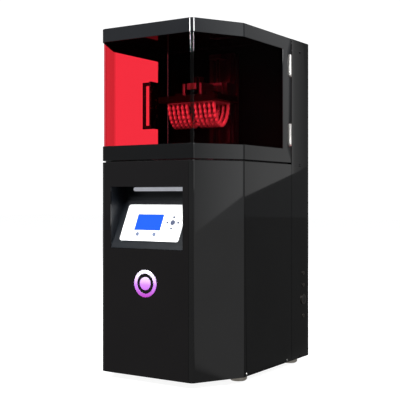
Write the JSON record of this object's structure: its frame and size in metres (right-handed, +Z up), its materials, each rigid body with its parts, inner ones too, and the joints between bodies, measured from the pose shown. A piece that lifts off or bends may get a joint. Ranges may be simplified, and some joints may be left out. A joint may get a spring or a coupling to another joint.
{
  "type": "resin printer",
  "caption": "Floor or bench resin printer: tall black cabinet with a sloping keypad recess and a hinged red window hood over a vat and a lifting build platform.",
  "frame": {"origin": "on the standing surface, at the centre of the box round the whole printer with its handle", "axes": "+Z up, -Y out of the front with the keypad, +X to the right seen from the front; the cabinet's own centre plane is at x = +12.95 mm"},
  "size_m": [0.3642, 0.3985, 0.715],
  "materials": {
    "dark_steel": "satin",
    "foot_metal": "turned, satin",
    "bare_aluminium": "brushed",
    "black_panel": "gloss black",
    "side_panel": "gloss black",
    "chamber_black": "matte black",
    "seal_rubber": "matte",
    "recess_plastic": "satin blue black",
    "keypad_white": "satin white",
    "lcd_blue": "backlit blue",
    "circuit_board": "solder mask green",
    "light_bar": "satin light grey",
    "badge_enamel": "enamel, white and magenta",
    "projector_case": "satin",
    "lens_barrel": "black anodised",
    "bare_steel": "plain",
    "rail_steel": "hardened, blackened",
    "fan_plastic": "satin black",
    "chrome_trim": "dull dark nickel",
    "screw_steel": "plated",
    "vat_plastic": "smoked",
    "clear_film": "clear film",
    "knob_plastic": "textured black",
    "column_anodised": "black anodised",
    "motor_black": "satin black",
    "nut_brass": "machined",
    "arm_black": "black anodised",
    "platform_dark": "dark anodised",
    "print_resin": "cured resin, ivory",
    "button_grey": "satin",
    "button_dark": "satin",
    "hinge_steel": "satin chrome",
    "hood_black": "gloss black",
    "window_red": "tinted acrylic",
    "handle_black": "satin black"
  },
  "bodies": {
    "chassis": {"base_plate": "dark_steel", "feet": "foot_metal", "frame_posts": "bare_aluminium", "front_panel": "black_panel", "left_side_panel": "side_panel", "right_side_panel": "side_panel", "rear_housing": "side_panel", "chamber_back_wall": "chamber_black", "deck_plate": "chamber_black", "deck_seal": "seal_rubber", "control_recess": "recess_plastic", "keypad_panel": "keypad_white", "lcd_display": "lcd_blue", "keypad_board": "circuit_board", "status_light_bar": "light_bar", "badge": "badge_enamel", "projector_body": "projector_case", "projector_lens": "lens_barrel", "projector_bracket": "bare_aluminium", "control_board": "circuit_board", "power_supply": "bare_steel", "fan_frame": "fan_plastic", "fan_guard": "bare_steel", "power_inlet": "fan_plastic", "switch_bezel": "chrome_trim", "side_sockets": "chrome_trim", "panel_screws": "screw_steel", "vat_rails": "bare_aluminium", "z_column": "column_anodised", "linear_rails": "rail_steel", "z_motor": "motor_black", "top_bearing": "column_anodised", "hinge_pin_leaves": "hinge_steel"},
    "hood": {"door_frame": "hood_black", "door_window": "window_red", "door_roof": "hood_black", "door_handle": "handle_black", "door_hinge_leaves": "hinge_steel"},
    "z_stage": {"z_carriage": "column_anodised", "lead_nut": "nut_brass", "platform_arm": "arm_black", "build_platform": "platform_dark", "sample_print": "print_resin"},
    "screw": {"lead_screw": "rail_steel", "shaft_coupler": "bare_aluminium"},
    "clamp_knob": {"platform_knob": "knob_plastic"},
    "vat": {"vat_frame": "vat_plastic", "vat_film": "clear_film"},
    "vat_screw_l": {"vat_screw_left": "knob_plastic"},
    "vat_screw_r": {"vat_screw_right": "knob_plastic"},
    "fan": {"fan_rotor": "fan_plastic"},
    "rocker": {"switch_rocker": "fan_plastic"},
    "key_button_left": {"button_left": "button_grey"},
    "key_button_right": {"button_right": "button_grey"},
    "key_nav_enter": {"nav_enter": "button_dark"},
    "key_nav_up": {"nav_up": "button_dark"},
    "key_nav_down": {"nav_down": "button_dark"},
    "key_nav_left": {"nav_left": "button_dark"},
    "key_nav_right": {"nav_right": "button_dark"}
  },
  "joints": [
    {"name": "hood_hinge", "type": "hinge", "parent": "chassis", "child": "hood", "pos_m": [0.17795, 0.10225, 0.58], "axis": [0, 0, 1], "range_deg": [0, 110]},
    {"name": "z_slide", "type": "slide", "parent": "chassis", "child": "z_stage", "axis": [0, 0, 1], "range_m": [-0.065, 0.05]},
    {"name": "screw_spin", "type": "hinge", "parent": "chassis", "child": "screw", "pos_m": [0.01295, 0.07275, 0.55], "axis": [0, 0, 1], "range_deg": [-2255, 2930]},
    {"name": "clamp_knob_turn", "type": "hinge", "parent": "z_stage", "child": "clamp_knob", "pos_m": [0.01295, -0.008, 0.62], "axis": [0, 0, 1], "range_deg": [-360, 360]},
    {"name": "vat_slide", "type": "slide", "parent": "chassis", "child": "vat", "axis": [0, -1, 0], "range_m": [0, 0.025]},
    {"name": "vat_screw_left_turn", "type": "hinge", "parent": "chassis", "child": "vat_screw_l", "pos_m": [-0.07105, -0.008, 0.46], "axis": [0, 0, 1], "range_deg": [-360, 360]},
    {"name": "vat_screw_right_turn", "type": "hinge", "parent": "chassis", "child": "vat_screw_r", "pos_m": [0.09695, -0.008, 0.46], "axis": [0, 0, 1], "range_deg": [-360, 360]},
    {"name": "fan_spin", "type": "hinge", "parent": "chassis", "child": "fan", "pos_m": [-0.05705, 0.18, 0.115], "axis": [0, 1, 0], "continuous": true},
    {"name": "rocker_tilt", "type": "hinge", "parent": "chassis", "child": "rocker", "pos_m": [0.17695, 0.16725, 0.1437], "axis": [0, 1, 0], "range_deg": [-14, 0]},
    {"name": "button_left_press", "type": "slide", "parent": "chassis", "child": "key_button_left", "axis": [0, 0.9, -0.4358], "range_m": [0, 0.0008], "stiffness_N_per_m": 900},
    {"name": "button_right_press", "type": "slide", "parent": "chassis", "child": "key_button_right", "axis": [0, 0.9, -0.4358], "range_m": [0, 0.0008], "stiffness_N_per_m": 900},
    {"name": "nav_enter_press", "type": "slide", "parent": "chassis", "child": "key_nav_enter", "axis": [0, 0.9, -0.4358], "range_m": [0, 0.0008], "stiffness_N_per_m": 900},
    {"name": "nav_up_press", "type": "slide", "parent": "chassis", "child": "key_nav_up", "axis": [0, 0.9, -0.4358], "range_m": [0, 0.0008], "stiffness_N_per_m": 900},
    {"name": "nav_down_press", "type": "slide", "parent": "chassis", "child": "key_nav_down", "axis": [0, 0.9, -0.4358], "range_m": [0, 0.0008], "stiffness_N_per_m": 900},
    {"name": "nav_left_press", "type": "slide", "parent": "chassis", "child": "key_nav_left", "axis": [0, 0.9, -0.4358], "range_m": [0, 0.0008], "stiffness_N_per_m": 900},
    {"name": "nav_right_press", "type": "slide", "parent": "chassis", "child": "key_nav_right", "axis": [0, 0.9, -0.4358], "range_m": [0, 0.0008], "stiffness_N_per_m": 900}
  ],
  "couplings": [
    {"joint": "screw_spin", "follows": "z_slide", "rad_per_m": -785.4}
  ]
}
